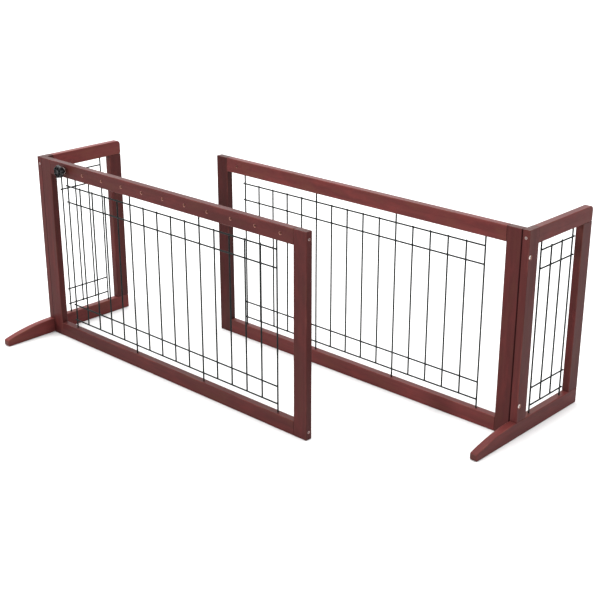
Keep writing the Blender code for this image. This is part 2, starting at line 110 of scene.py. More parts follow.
# Threads: sides, rings to a turn, and a machine thread's root as a share of its crest
THREAD_SIDES = 24
THREAD_SAMPLES = 8
THREAD_ROOT = 0.80

# Wood screws: shares of the head's radius, of the length or of the thread's crest, then metres
SCREW_SHANK_SHARE = 0.58
SCREW_BORE_SHARE = 0.62
SCREW_RECESS_SHARE = 0.75
SCREW_PLAIN_SHARE = 0.32
SCREW_ROOT_SHARE = 0.66
SCREW_SHARPNESS = 1.6
SCREW_PITCH = 0.0022
SCREW_SINK = 0.0030

# Button-headed bolts, their inserts, and the dowels
BOLT_RISE = 0.0030
BOLT_SHANK = 0.0025
BOLT_PITCH = 0.0008
BOLT_PLAIN_SHARE = 0.3
BOLT_SINK = 0.0034
BOLT_HOLE = 0.0029
INSERT_INNER = 0.0029
INSERT_PITCH = 0.0025
INSERT_SHARPNESS = 1.4
INSERT_HOLE = 0.0046
INSERT_HOLE_DEPTH = 0.0150
DOWEL_FLUTES = 16
DOWEL_FLUTE_DEPTH = 0.00022
DOWEL_CHAMFER = 0.0013
DOWEL_SIDES = 96
DOWEL_HOLE = 0.0044
DOWEL_HOLE_DEPTH = 0.0256

# Width holes and knob
WIDTH_HOLES = 11
WIDTH_HOLE_RADIUS = 0.0037
WIDTH_HOLE_LIP = 0.0005
KNOB_LOBES = 7
KNOB_LOBE_DEPTH = 0.0024
KNOB_GRIP = 0.0095
KNOB_CROWN_RISE = 0.0015
KNOB_POCKET_DEPTH = 0.0055
KNOB_BOSS_RADIUS = 0.0085
KNOB_DISH = 0.0009
KNOB_STUD_HOLE = 0.0034
KNOB_STUD_DEPTH = 0.0143
KNOB_SIDES = 168

# Shares of the knob's rim radius: where each shape on it starts, and over how much it comes in
KNOB_LOBES_START, KNOB_LOBES_SLOPE = 0.45, 0.40
KNOB_POCKET_INNER, KNOB_POCKET_OUTER, KNOB_POCKET_SLOPE = 0.30, 0.88, 0.05
KNOB_RIB_START, KNOB_RIB_SLOPE = 0.22, 0.20
KNOB_CROWN_START, KNOB_CROWN_SLOPE = 0.34, 0.06
KNOB_DISH_START, KNOB_DISH_SLOPE = 0.19, 0.03
KNOB_BACK_SHARE = 0.90

# Rings of the knob: shares on its face, then (share, drop below the face) round its rim
KNOB_FACE_SHARES = (0.08, 0.14, 0.16, 0.18, 0.20, 0.24, 0.28, 0.30, 0.32, 0.34, 0.36, 0.40,
                    0.48, 0.58, 0.68, 0.78, 0.82, 0.84, 0.86, 0.88, 0.91, 0.93)
KNOB_RIM_STEPS = ((0.955, 0.00025), (0.975, 0.0006), (0.99, 0.0013), (0.998, 0.0022),
                  (1.0, 0.0034), (1.0, 0.0062), (0.998, 0.0074), (0.985, 0.0084), (0.955, 0.0091))

# Stud, washer and tee nut
STUD_PITCH = 0.0010
WASHER_HOLE = 0.0034
WASHER_SIDES = 64
NUT_HOLE = 0.0034
NUT_BARREL = 0.0042
NUT_FLANGE_THICKNESS = 0.0015
NUT_BORE_SLACK = 0.0006
NUT_PRONGS = 4
NUT_PRONG_INSET = 0.0011
NUT_PRONG_REACH = 0.0062
NUT_PRONG_SPREAD = 0.16
NUT_PRONG_THICKENING = 1.10
NUT_SIDES = 48
METAL_EASE = 0.00025

# How light each board took the stain, and painted light: some boards are set lighter or darker for
# the light or shade that fell on them
STAIN_AND_LIGHT_TONES = {
    "left": {"panel_outer_stile": 0.83, "panel_inner_stile": 0.76, "panel_top_rail": 0.87,
             "panel_bottom_rail": 0.77, "wing_near_post": 0.83, "wing_far_post": 0.90,
             "wing_top_rail": 1.80, "wing_foot_beam": 1.70},
    "right": {"panel_outer_stile": 0.85, "panel_inner_stile": 0.60, "panel_top_rail": 1.33,
              "panel_bottom_rail": 1.15, "wing_near_post": 0.99, "wing_far_post": 0.88,
              "wing_top_rail": 1.25, "wing_foot_beam": 1.20},
}

X = Vector((1.0, 0.0, 0.0))
Y = Vector((0.0, 1.0, 0.0))
Z = Vector((0.0, 0.0, 1.0))
UNMOVED = Matrix()
FULL_TURN = 2 * math.pi

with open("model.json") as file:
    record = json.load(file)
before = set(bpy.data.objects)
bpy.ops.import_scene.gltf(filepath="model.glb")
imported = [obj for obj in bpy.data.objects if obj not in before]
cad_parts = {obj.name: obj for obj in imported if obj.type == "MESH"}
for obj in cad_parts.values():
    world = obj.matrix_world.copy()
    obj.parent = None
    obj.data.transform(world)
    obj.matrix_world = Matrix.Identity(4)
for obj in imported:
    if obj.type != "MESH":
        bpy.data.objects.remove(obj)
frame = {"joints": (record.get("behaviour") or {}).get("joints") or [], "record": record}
cad_low, cad_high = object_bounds()
body_of_node = {
    node: body
    for body, nodes in frame["record"]["behaviour"]["bodies"].items()
    for node in nodes
}
joints = {joint["name"]: joint for joint in frame["joints"]}
inward_of = {"left": X, "right": -X}


# ---------------------------------------------------------------- shapes

def new_object(name, mesh, finishes):
    """A linked object with its materials."""
    made = bpy.data.objects.new(name, mesh)
    bpy.context.scene.collection.objects.link(made)
    for index, finish in enumerate(finishes):
        if index < len(mesh.materials):
            mesh.materials[index] = finish
        else:
            mesh.materials.append(finish)
    return made


def stand_for(piece, node):
    """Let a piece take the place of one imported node, on the same body."""
    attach(piece, body_of_node[node])
    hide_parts(node)
    return piece


def placed(start, direction):
    """The matrix that puts a turned shape's top at start, with its -Z along direction."""
    turn = direction.to_track_quat("-Z", "Y").to_matrix().to_4x4()
    return Matrix.Translation(start) @ turn


def middle(node):
    """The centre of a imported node's box."""
    low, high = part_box(node)
    return (low + high) / 2


def size_of(node):
    """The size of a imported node's box."""
    low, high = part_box(node)
    return high - low


def end_of(node, direction):
    """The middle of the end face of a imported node's box that lies furthest back along direction."""
    return middle(node) - direction * abs(size_of(node).dot(direction)) / 2


def stitch(shape, upper, lower, sides):
    """Join two rings of vertices by faces. A ring of one vertex makes a cap."""
    for step in range(sides):
        after = (step + 1) % sides
        corners = (upper[step % len(upper)], upper[after % len(upper)],
                   lower[after % len(lower)], lower[step % len(lower)])
        corners = list(dict.fromkeys(corners))
        if len(corners) > 2:
            shape.faces.new(corners)


def lathe(shape, rings, sides, place=UNMOVED, closed=False):
    """Add a turned solid. A ring is (radius, height), or a function of the angle that gives them."""
    made = []
    for ring in rings:
        if not callable(ring) and ring[0] < 1e-7:
            made.append([shape.verts.new(place @ Vector((0.0, 0.0, ring[1])))])
            continue
        verts = []
        for step in range(sides):
            angle = FULL_TURN * step / sides
            radius, height = ring(angle) if callable(ring) else ring
            point = Vector((radius * math.cos(angle), radius * math.sin(angle), height))
            verts.append(shape.verts.new(place @ point))
        made.append(verts)
    pairs = list(zip(made, made[1:]))
    if closed:
        pairs.append((made[-1], made[0]))
    for upper, lower in pairs:
        stitch(shape, upper, lower, sides)


def finished_mesh(name, shape, sharp_angle=SHARP_ANGLE):
    """A mesh from a shape, faces out, smooth but for its sharp edges."""
    bmesh.ops.recalc_face_normals(shape, faces=shape.faces)
    mesh = bpy.data.meshes.new(name)
    shape.to_mesh(mesh)
    shape.free()
    mesh.shade_smooth()
    mesh.set_sharp_from_angle(angle=math.radians(sharp_angle))
    return mesh


def cut(mesh, tool_shape, name):
    """The mesh less a tool shape, by one exact Boolean."""
    holder = bpy.data.objects.new(name + "_whole", mesh)
    tool = bpy.data.objects.new(name + "_tool", finished_mesh(name + "_tool", tool_shape))
    for item in (holder, tool):
        bpy.context.scene.collection.objects.link(item)
    for face in tool.data.polygons:
        face.material_index = 1
    for data in (holder.data, tool.data):
        while len(data.materials) < 2:
            data.materials.append(None)
    step = holder.modifiers.new("cut", "BOOLEAN")
    step.operation = "DIFFERENCE"
    step.solver = "EXACT"
    step.object = tool
    bpy.context.view_layer.update()
    evaluated = holder.evaluated_get(bpy.context.evaluated_depsgraph_get())
    result = bpy.data.meshes.new_from_object(evaluated)
    result.name = name
    for item in (holder, tool):
        bpy.data.objects.remove(item, do_unlink=True)
    result.shade_smooth()
    result.set_sharp_from_angle(angle=math.radians(SHARP_ANGLE))
    return result


def keep_flats_flat(piece):
    """Weight the normals by face area, so that wide faces shade flat beside rounded edges."""
    weighted = piece.modifiers.new("flat_faces", "WEIGHTED_NORMAL")
    weighted.keep_sharp = True
    weighted.weight = 80


# ---------------------------------------------------------------- materials

class Nodes:
    """A few shorthands for building one material's node tree."""

    def __init__(self, name, **constants):
        self.material = bpy.data.materials.new(name)
        self.material.use_nodes = True
        self.tree = self.material.node_tree
        self.shader = self.tree.nodes["Principled BSDF"]
        for socket, value in constants.items():
            self.shader.inputs[socket.replace("_", " ")].default_value = value

    def add(self, kind, **settings):
        node = self.tree.nodes.new(kind)
        for key, value in settings.items():
            setattr(node, key, value)
        return node

    def link(self, source, target):
        self.tree.links.new(source, target)

    def feed(self, node, values):
        """Set or link the inputs of a node, by name or by number."""
        for key, value in values.items():
            if isinstance(value, bpy.types.NodeSocket):
                self.link(value, node.inputs[key])
            else:
                node.inputs[key].default_value = value

    def math(self, operation, first, second=0.0, clamp=False):
        node = self.add("ShaderNodeMath", operation=operation, use_clamp=clamp)
        self.feed(node, {0: first, 1: second})
        return node.outputs[0]

    def span(self, value, low, high, out_low=0.0, out_high=1.0):
        """The value mapped smoothly from one range to another, and held there."""
        node = self.add("ShaderNodeMapRange", interpolation_type="SMOOTHSTEP")
        self.feed(node, {0: value, 1: low, 2: high, 3: out_low, 4: out_high})
        return node.outputs[0]

    def stretch(self, vector, scale, offset=(0.0, 0.0, 0.0)):
        node = self.add("ShaderNodeMapping")
        self.feed(node, {"Vector": vector, "Scale": scale, "Location": offset})
        return node.outputs[0]

    def noise(self, vector, scale=1.0, detail=3.0, roughness=0.5):
        node = self.add("ShaderNodeTexNoise")
        self.feed(node, {"Vector": vector, "Scale": scale, "Detail": detail, "Roughness": roughness})
        return node.outputs[0]

    def mix(self, factor, first, second):
        node = self.add("ShaderNodeMix", data_type="RGBA")
        self.feed(node, {0: factor})
        for slot, value in ((6, first), (7, second)):
            if isinstance(value, bpy.types.NodeSocket):
                self.link(value, node.inputs[slot])
            else:
                node.inputs[slot].default_value = (*value, 1.0)
        return node.outputs[2]

    def bump(self, height, distance, strength, under=None):
        node = self.add("ShaderNodeBump")
        self.feed(node, {"Height": height, "Distance": distance, "Strength": strength})
        if under is not None:
            self.link(under, node.inputs["Normal"])
        return node.outputs[0]

    def finish(self, colour, roughness, normal):
        for socket, value in (("Base Color", colour), ("Roughness", roughness), ("Normal", normal)):
            self.link(value, self.shader.inputs[socket])
        return self.material


def stained_wood():
    """Cherry-stained fine-grained board under a satin lacquer; grain runs along local X."""
    n = Nodes("stained_wood", Specular_IOR_Level=0.07)
    place = n.add("ShaderNodeTexCoord")
    seed = n.add("ShaderNodeAttribute", attribute_type="OBJECT", attribute_name="grain").outputs[2]
    shift = n.add("ShaderNodeCombineXYZ")
    n.feed(shift, {0: n.math("MULTIPLY", seed, 3.7), 1: n.math("MULTIPLY", seed, 0.61),
                   2: n.math("MULTIPLY", seed, 0.43)})
    moved = n.add("ShaderNodeVectorMath", operation="ADD")
    n.feed(moved, {0: place.outputs["Object"], 1: shift.outputs[0]})
    along = moved.outputs[0]

    streaks = n.noise(n.stretch(along, (5.0, 120.0, 120.0)), detail=3.0, roughness=0.55)
    fibres = n.noise(n.stretch(along, (28.0, 1100.0, 1100.0)), detail=2.0, roughness=0.6)
    mottle = n.noise(n.stretch(along, (11.0, 34.0, 34.0)), detail=3.0, roughness=0.6)
    blush = n.noise(n.stretch(along, (2.6, 10.0, 10.0), (5.0, 2.0, 1.0)), detail=2.0)

    deep = (0.057, 0.0129, 0.0126)
    warm = (0.070, 0.0160, 0.0150)
    red = (0.095, 0.0180, 0.0165)
    olive = (0.066, 0.0197, 0.0141)
    pore = (0.022, 0.0052, 0.0050)
    end_cut = (0.040, 0.0170, 0.0140)
    # lighter edge colour: partly worn, thin stain, partly a painted highlight on the rounded edges
    worn_and_highlight = (0.19, 0.062, 0.050)
    # painted shade colour for the rounded edges beside a joint
    joint_painted_shade = (0.018, 0.0022, 0.0024)
    colour = n.mix(n.span(streaks, 0.32, 0.70), deep, warm)
    colour = n.mix(n.span(mottle, 0.48, 0.72, 0.0, 0.55), colour, red)
    colour = n.mix(n.span(mottle, 0.52, 0.30, 0.0, 0.60), colour, olive)
    pores = n.span(fibres, 0.60, 0.78, 0.0, 0.20)
    colour = n.mix(pores, colour, pore)
    tint = n.add("ShaderNodeHueSaturation")
    # The board's tone: its stain take, with painted light for how lit or shaded the board was; blush
    # varies it at random
    tone = n.add("ShaderNodeAttribute", attribute_type="OBJECT", attribute_name="tone").outputs[2]
    n.feed(tint, {"Color": colour, "Value": n.math("MULTIPLY", tone,
                                                   n.span(blush, 0.3, 0.7, 0.90, 1.10))})
    colour = tint.outputs[0]

    facing = n.add("ShaderNodeSeparateXYZ")
    n.feed(facing, {0: place.outputs["Normal"]})
    end_grain = n.span(n.math("ABSOLUTE", facing.outputs[0]), 0.75, 0.98, 0.0, 0.55)
    colour = n.mix(end_grain, colour, end_cut)

    arris = n.add("ShaderNodeAttribute", attribute_type="GEOMETRY", attribute_name="arris").outputs[2]
    # Rounded edges lighten in patches: worn stain, and a painted highlight
    wear_and_highlight_patch = n.noise(n.stretch(along, (14.0, 60.0, 60.0)), detail=3.0)
    wear_and_highlight = n.math("MULTIPLY", arris, n.span(wear_and_highlight_patch, 0.42, 0.66, 0.05, 0.28), clamp=True)
    colour = n.mix(wear_and_highlight, colour, worn_and_highlight)
    # Rounded edges beside a joint darken: painted shade in the joint
    joint_shade = n.math("MULTIPLY", arris, -0.85, clamp=True)
    colour = n.mix(joint_shade, colour, joint_painted_shade)

    sheen_patch = n.noise(n.stretch(along, (6.0, 30.0, 30.0)), detail=2.0)
    roughness = n.span(n.math("ADD", n.math("MULTIPLY", sheen_patch, 0.7),
                              n.math("MULTIPLY", fibres, 0.3)), 0.3, 0.7, 0.34, 0.46)
    peel = n.noise(n.stretch(along, (260.0, 420.0, 420.0)), detail=2.0)
    normal = n.bump(peel, 0.00008, 0.35)
    normal = n.bump(n.math("MULTIPLY", fibres, -1.0), 0.00010, 0.4, normal)
    normal = n.bump(streaks, 0.00020, 0.30, normal)
    return n.finish(colour, roughness, normal)


def bare_wood(name, pale, dark, length_scale):
    """Unstained wood with a fine grain along local X."""
    n = Nodes(name, Specular_IOR_Level=0.25)
    place = n.add("ShaderNodeTexCoord").outputs["Object"]
    grain = n.noise(n.stretch(place, (length_scale, 900.0, 900.0)), detail=3.0, roughness=0.6)
    broad = n.noise(n.stretch(place, (20.0, 150.0, 150.0)), detail=2.0)
    colour = n.mix(n.span(grain, 0.35, 0.70), dark, pale)
    colour = n.mix(n.span(broad, 0.4, 0.7, 0.0, 0.3), colour, dark)
    roughness = n.span(grain, 0.3, 0.7, 0.55, 0.75)
    return n.finish(colour, roughness, n.bump(grain, 0.0002, 0.5))


def black_wire():
    """Black powder-coated wire: slight orange peel and thin places, with a little dust."""
    n = Nodes("black_wire", Specular_IOR_Level=0.06)
    place = n.add("ShaderNodeTexCoord").outputs["Object"]
    peel = n.noise(place, 900.0, 2.0)
    patch = n.noise(place, 45.0, 3.0)
    colour = n.mix(n.span(patch, 0.35, 0.7), (0.006, 0.008, 0.008), (0.013, 0.016, 0.016))
    roughness = n.span(patch, 0.3, 0.7, 0.42, 0.58)
    return n.finish(colour, roughness, n.bump(peel, 0.00012, 0.6))


def plated_steel(name, pale, dark):
    """Plated steel with a faint bloom and fine turning marks."""
    n = Nodes(name, Metallic=1.0)
    place = n.add("ShaderNodeTexCoord").outputs["Object"]
    bloom = n.noise(place, 260.0, 3.0)
    marks = n.noise(n.stretch(place, (150.0, 150.0, 2600.0)), detail=2.0)
    colour = n.mix(n.span(bloom, 0.35, 0.7), pale, dark)
    roughness = n.span(bloom, 0.3, 0.7, 0.24, 0.38)
    return n.finish(colour, roughness, n.bump(marks, 0.00004, 0.5))


def black_plastic():
    """Moulded black plastic with a fine spark texture, polished a little on its high places."""
    n = Nodes("black_plastic", Specular_IOR_Level=0.22)
    place = n.add("ShaderNodeTexCoord").outputs["Object"]
    spark = n.noise(place, 2600.0, 2.0)
    rub = n.noise(place, 120.0, 3.0)
    colour = n.mix(n.span(rub, 0.35, 0.7), (0.006, 0.006, 0.007), (0.014, 0.014, 0.015))
    roughness = n.span(rub, 0.3, 0.7, 0.28, 0.40)
    return n.finish(colour, roughness, n.bump(spark, 0.00005, 0.6))


WOOD = stained_wood()
BORE_WOOD = bare_wood("bore_wood", (0.40, 0.20, 0.16), (0.26, 0.115, 0.090), 60.0)
BEECH = bare_wood("plain_beech", (0.62, 0.43, 0.27), (0.44, 0.28, 0.16), 40.0)
WIRE = black_wire()
ZINC = plated_steel("zinc_steel", (0.72, 0.64, 0.60), (0.56, 0.50, 0.48))
SCREW_STEEL = plated_steel("screw_steel", (0.36, 0.27, 0.26), (0.24, 0.18, 0.18))
PLASTIC = black_plastic()


# ---------------------------------------------------------------- fasteners and their bores

bores = {}


def bore(nodes, profile, place):
    """Note a bore, a turned profile about the place's own -Z, to be cut from each board named."""
    for node in nodes:
        bores.setdefault(node, []).append((profile, place))


def bore_profile(*steps, lip=0.0):
    """A bore's profile from (radius, depth) steps, with the mouth eased by lip."""
    first = steps[0][0]
    profile = [(0.0, BORE_LEAD), (first + lip, BORE_LEAD)]
    if lip:
        profile += [(first + lip, 0.0), (first, -lip)]
    height = BORE_LEAD
    for index, (radius, depth) in enumerate(steps):
        if index:
            profile.append((radius, height))
        height = -depth
        profile.append((radius, height))
    profile.append((0.0, height))
    return profile


def thread(crest, root, pitch, top, bottom, sharpness=1.0):
    """Rings of a screw thread from height top down to bottom, fading at both ends."""
    count = max(2, round((top - bottom) / pitch * THREAD_SAMPLES))

    def ring_at(height):
        fade = min(1.0, (top - height) / pitch, (height - bottom) / pitch)

        def ring(angle):
            phase = (height / pitch + angle / FULL_TURN) % 1.0
            ridge = max(0.0, 1.0 - abs(2 * phase - 1.0) * sharpness)
            return root + (crest - root) * ridge * max(0.0, fade), height

        return ring

    return [ring_at(top + (bottom - top) * index / count) for index in range(count + 1)]


def cross_recess(radius, depth):
    """The two tapered arms of a cross that a screwdriver fits, as tool shapes."""
    arm, wing, taper = radius * 0.62, radius * 0.17, 0.45
    tools = []
    for turn in (0.0, math.pi / 2):
        tool = bmesh.new()
        place = Matrix.Rotation(turn, 4, "Z")
        for vert in bmesh.ops.create_cube(tool, size=2.0)["verts"]:
            share, height = (1.0, depth * 0.5) if vert.co.z > 0 else (taper, -depth)
            vert.co = place @ Vector((vert.co.x * arm * share, vert.co.y * wing * share, height))
        tools.append(tool)
    return tools


def wood_screw_mesh(node):
    """A countersunk wood screw, head top at z = 0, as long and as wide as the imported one."""
    size = sorted(size_of(node))
    head, length = size[0] / 2, size[2]
    shank = head * SCREW_SHANK_SHARE
    point = length - shank * 3
    plain_end = -length * SCREW_PLAIN_SHARE
    shape = bmesh.new()
    rings = [(0.0, 0.0), (head * 0.9, 0.0), (head, -head * 0.08), (head, -head * 0.18)]
    rings += [(shank, -head), (shank, plain_end)]
    rings += thread(shank, shank * SCREW_ROOT_SHARE, SCREW_PITCH, plain_end - 0.0002, -point,
                    SCREW_SHARPNESS)
    rings += [(shank * 0.45, -point - shank * 1.2), (0.0, -length)]
    lathe(shape, rings, THREAD_SIDES)
    mesh = finished_mesh("wood_screw", shape)
    for index, arm in enumerate(cross_recess(head, head * SCREW_RECESS_SHARE)):
        mesh = cut(mesh, arm, f"wood_screw_{index}")
    mesh.name = "wood_screw"
    return mesh


def bolt_mesh(node):
    """A button-headed bolt with a hexagon socket, head top at z = 0."""
    size = sorted(size_of(node))
    head, length = size[0] / 2, size[2]
    rise, shank, plain_end = BOLT_RISE, BOLT_SHANK, -length * BOLT_PLAIN_SHARE
    shape = bmesh.new()
    dome = [(head * math.sin(turn), -rise * 0.72 * (1 - math.cos(turn)))
            for turn in map(math.radians, (24, 42, 58, 74, 90))]
    rings = [(0.0, 0.0), (head * 0.20, 0.0)] + dome
    rings += [(head, -rise * 0.86), (head * 0.96, -rise), (shank + 0.0004, -rise)]
    rings += [(shank, -rise - 0.0004), (shank, plain_end)]
    rings += thread(shank, shank * THREAD_ROOT, BOLT_PITCH, plain_end - 0.0001,
                    BOLT_PITCH - length)
    rings += [(shank * 0.70, -length), (0.0, -length)]
    lathe(shape, rings, THREAD_SIDES)
    tool = bmesh.new()
    socket = head * 0.36
    lathe(tool, [(0.0, 0.001), (socket, 0.001), (socket, -rise * 0.62), (0.0, -rise * 0.80)], 6)
    return cut(finished_mesh("bolt", shape), tool, "bolt")


def insert_mesh(node):
    """A threaded insert: a sleeve along world X with a coarse wood thread outside."""
    size = size_of(node)
    length, crest = size.x, max(size.y, size.z) / 2
    shape = bmesh.new()
    rings = [(INSERT_INNER + 0.0004, 0.0), (crest * 0.9, 0.0)]
    rings += thread(crest, crest * THREAD_ROOT, INSERT_PITCH, -0.0006, 0.0008 - length,
                    INSERT_SHARPNESS)
    rings += [(crest * 0.78, -length), (INSERT_INNER, -length), (INSERT_INNER, -0.0005)]
    lathe(shape, rings, THREAD_SIDES, closed=True)
    return finished_mesh("threaded_insert", shape)


def dowel_mesh(node):
    """A fluted beech dowel with chamfered ends, along local Z."""
    size = size_of(node)
    radius, length = size.x / 2, size.z

    def fluted(height):
        def ring(angle):
            return radius - DOWEL_FLUTE_DEPTH * (1 - math.cos(DOWEL_FLUTES * angle)) / 2, height

        return ring

    shape = bmesh.new()
    rings = [(0.0, 0.0), (radius * 0.72, 0.0), fluted(-DOWEL_CHAMFER), fluted(-length / 2)]
    rings += [fluted(DOWEL_CHAMFER - length), (radius * 0.72, -length), (0.0, -length)]
    lathe(shape, rings, DOWEL_SIDES)
    return finished_mesh("dowel", shape)


def put_turned(node, mesh, direction, finish=ZINC, suffix="_steel"):
    """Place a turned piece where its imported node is, its top at the end furthest back."""
    piece = new_object(node + suffix, mesh, [finish, finish])
    piece.matrix_world = placed(end_of(node, direction), direction)
    return stand_for(piece, node)


def build_fasteners():
    """Every screw, bolt, insert and dowel, with the bores that they sit in."""
    screw = wood_screw_mesh("left_panel_screw_outer_top")
    bolt = bolt_mesh("left_wing_upper_bolt")
    insert = insert_mesh("left_wing_upper_insert")
    dowel = dowel_mesh("left_wing_dowel")
    screw_size = size_of("left_panel_screw_outer_top")
    screw_head = min(screw_size) / 2 + BORE_CLEARANCE
    screw_bore = bore_profile((screw_head, SCREW_SINK),
                              (screw_head * SCREW_BORE_SHARE, max(screw_size) + 0.001),
                              lip=BORE_LIP)
    bolt_head = min(size_of("left_wing_upper_bolt")) / 2 + BORE_CLEARANCE
    through_post = size_of("left_wing_near_post").x + BORE_LEAD
    bolt_bore = bore_profile((bolt_head, BOLT_SINK), (BOLT_HOLE, through_post), lip=BORE_LIP)
    insert_bore = bore_profile((INSERT_HOLE, INSERT_HOLE_DEPTH))
    dowel_bore = bore_profile((DOWEL_HOLE, DOWEL_HOLE_DEPTH))

    for side, inward in inward_of.items():
        screws = {
            f"{side}_wing_screw_front": (Y, "wing_near_post", "wing_top_rail"),
            f"{side}_wing_screw_near_base": (Z, "wing_foot_beam", "wing_near_post"),
            f"{side}_wing_screw_far_base": (Z, "wing_foot_beam", "wing_far_post"),
        }
        for level in ("top", "bottom"):
            rail = f"panel_{level}_rail"
            screws[f"{side}_panel_screw_outer_{level}"] = (inward, "panel_outer_stile", rail)
            screws[f"{side}_panel_screw_inner_{level}"] = (-inward, "panel_inner_stile", rail)
        for node, (direction, through, into) in screws.items():
            put_turned(node, screw, direction, SCREW_STEEL)
            place = placed(end_of(node, direction), direction)
            bore([f"{side}_{through}", f"{side}_{into}"], screw_bore, place)
        for level in ("lower", "upper"):
            node = f"{side}_wing_{level}_bolt"
            put_turned(node, bolt, inward)
            bore([f"{side}_wing_near_post"], bolt_bore, placed(end_of(node, inward), inward))
            node = f"{side}_wing_{level}_insert"
            put_turned(node, insert, inward)
            bore([f"{side}_panel_outer_stile"], insert_bore, placed(end_of(node, inward), inward))
        node = f"{side}_wing_dowel"
        put_turned(node, dowel, -Z, BEECH, "_beech")
        meeting = middle(node)
        bore([f"{side}_wing_top_rail"], dowel_bore, placed(meeting, Z))
        bore([f"{side}_wing_far_post"], dowel_bore, placed(meeting, -Z))


# ---------------------------------------------------------------- wire grids

def wire(shape, start, end, bow, bow_side):
    """One round wire with softened cut ends, bowed very slightly."""
    axis = (end - start).normalized()
    length = (end - start).length
    other = axis.cross(bow_side)
    count = max(2, round(length / WIRE_STEP))
    stations = list(WIRE_CUT_END)
    stations += [(length * index / count, 1.0) for index in range(1, count)]
    stations += [(length - distance, share) for distance, share in reversed(WIRE_CUT_END)]
    rings = []
    for distance, share in stations:
        offset = bow_side * bow * math.sin(math.pi * distance / length)
        centre = start + axis * distance + offset
        if share == 0.0:
            rings.append([shape.verts.new(centre)])
            continue
        ring = []
        for step in range(WIRE_SIDES):
            angle = FULL_TURN * step / WIRE_SIDES
            spoke = bow_side * math.cos(angle) + other * math.sin(angle)
            ring.append(shape.verts.new(centre + spoke * WIRE_RADIUS * share))
        rings.append(ring)
    for upper, lower in zip(rings, rings[1:]):
        stitch(shape, upper, lower, WIRE_SIDES)


def weld(shape, centre, across, front):
    """A flattened bead of weld between two crossing wires."""
    up = across.cross(front)
    turn = Matrix((across, up, front)).transposed().to_4x4()
    place = Matrix.Translation(centre) @ turn @ Matrix.Diagonal((1.0, 1.0, WELD_FLATNESS, 1.0))
    rings = [(0.0, WELD_RADIUS)]
    for step in range(1, WELD_RINGS):
        angle = math.pi * step / WELD_RINGS
        rings.append((WELD_RADIUS * math.sin(angle), WELD_RADIUS * math.cos(angle)))
    rings.append((0.0, -WELD_RADIUS))
    lathe(shape, rings, WELD_SIDES, place)


def build_grid(node, across, front, uprights, long_uprights, boards):
    """A welded grid of uprights with four cross wires on their front side."""
    low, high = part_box(node)
    axis = 0 if across is X else 1
    mid_height = (low.z + high.z) / 2
    depth = 2 * WIRE_RADIUS - WELD_SINK
    upright_plane = min(low.dot(front), high.dot(front)) + WIRE_RADIUS
    first = low[axis] + WIRE_TAIL
    pitch = (high[axis] - low[axis] - 2 * WIRE_TAIL) / (uprights - 1)

    def point(along, forward, height):
        return across * along + front * (upright_plane + forward) + Z * height

    shape = bmesh.new()
    places = [first + pitch * index for index in range(uprights)]
    reach = OUTER_WIRE_RISE + WIRE_RADIUS
    for index, along in enumerate(places):
        start_z, end_z = mid_height - reach, mid_height + reach
        if index in long_uprights:
            start_z, end_z = low.z, high.z
        bow = WIRE_BOW * math.sin(2.1 * index + 0.7)
        wire(shape, point(along, 0.0, start_z), point(along, 0.0, end_z), bow, across)
    for rise in (-OUTER_WIRE_RISE, -INNER_WIRE_RISE, INNER_WIRE_RISE, OUTER_WIRE_RISE):
        height = mid_height + rise
        start = point(places[0] - WIRE_TAIL, depth, height)
        end = point(places[-1] + WIRE_TAIL, depth, height)
        wire(shape, start, end, WIRE_BOW * math.sin(40 * rise), Z)
        for along in places:
            weld(shape, point(along, depth / 2, height), across, front)
    mesh = finished_mesh(node + "_wire", shape, ROUND_PIECE_SHARP_ANGLE)
    grid = new_object(node + "_wire", mesh, [WIRE])
    stand_for(grid, node)
    socket = bore_profile((WIRE_RADIUS + BORE_CLEARANCE, WIRE_SOCKET_DEPTH), lip=BORE_LIP)
    bottom_board, top_board = boards
    for index in long_uprights:
        under = point(places[index], 0.0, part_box(bottom_board)[1].z)
        over = point(places[index], 0.0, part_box(top_board)[0].z)
        bore([bottom_board], socket, placed(under, -Z))
        bore([top_board], socket, placed(over, Z))


def build_grids():
    """The panel's and the wing's wire grid of each half."""
    for side, inward in inward_of.items():
        build_grid(f"{side}_panel_wire_grid", X, -Y, PANEL_UPRIGHTS, PANEL_LONG_UPRIGHTS,
                   (f"{side}_panel_bottom_rail", f"{side}_panel_top_rail"))
        build_grid(f"{side}_wing_wire_grid", Y, -inward, WING_UPRIGHTS, WING_LONG_UPRIGHTS,
                   (f"{side}_wing_foot_beam", f"{side}_wing_top_rail"))


# ---------------------------------------------------------------- knob, stud, washer and nut

def smooth(value):
    """Smooth step of a value between 0 and 1."""
    held = min(1.0, max(0.0, value))
    return held * held * (3 - 2 * held)


def knob_ring(share, height, rim, face, crown):
    """One ring of the knob at a share of its rim radius, lobed towards the outside.

    With no height given it lies on the face, which has pockets between ribs and a dished middle.
    """

    def ring(angle):
        wave = math.cos(KNOB_LOBES * angle)
        lobes_in = smooth((share - KNOB_LOBES_START) / KNOB_LOBES_SLOPE)
        lobed = rim - KNOB_LOBE_DEPTH * (1 - wave) / 2 * lobes_in
        level = height
        if height is None:
            pocket = smooth((KNOB_POCKET_OUTER - share) / KNOB_POCKET_SLOPE)
            pocket *= smooth((share - KNOB_POCKET_INNER) / KNOB_POCKET_SLOPE)
            off_rib = abs(math.sin(KNOB_LOBES * angle / 2))
            pocket *= smooth((off_rib - KNOB_RIB_START) / KNOB_RIB_SLOPE)
            level = face - KNOB_POCKET_DEPTH * pocket
            level += (crown - face) * smooth((KNOB_CROWN_START - share) / KNOB_CROWN_SLOPE)
            level -= KNOB_DISH * smooth((KNOB_DISH_START - share) / KNOB_DISH_SLOPE)
        return lobed * share, level

    return ring


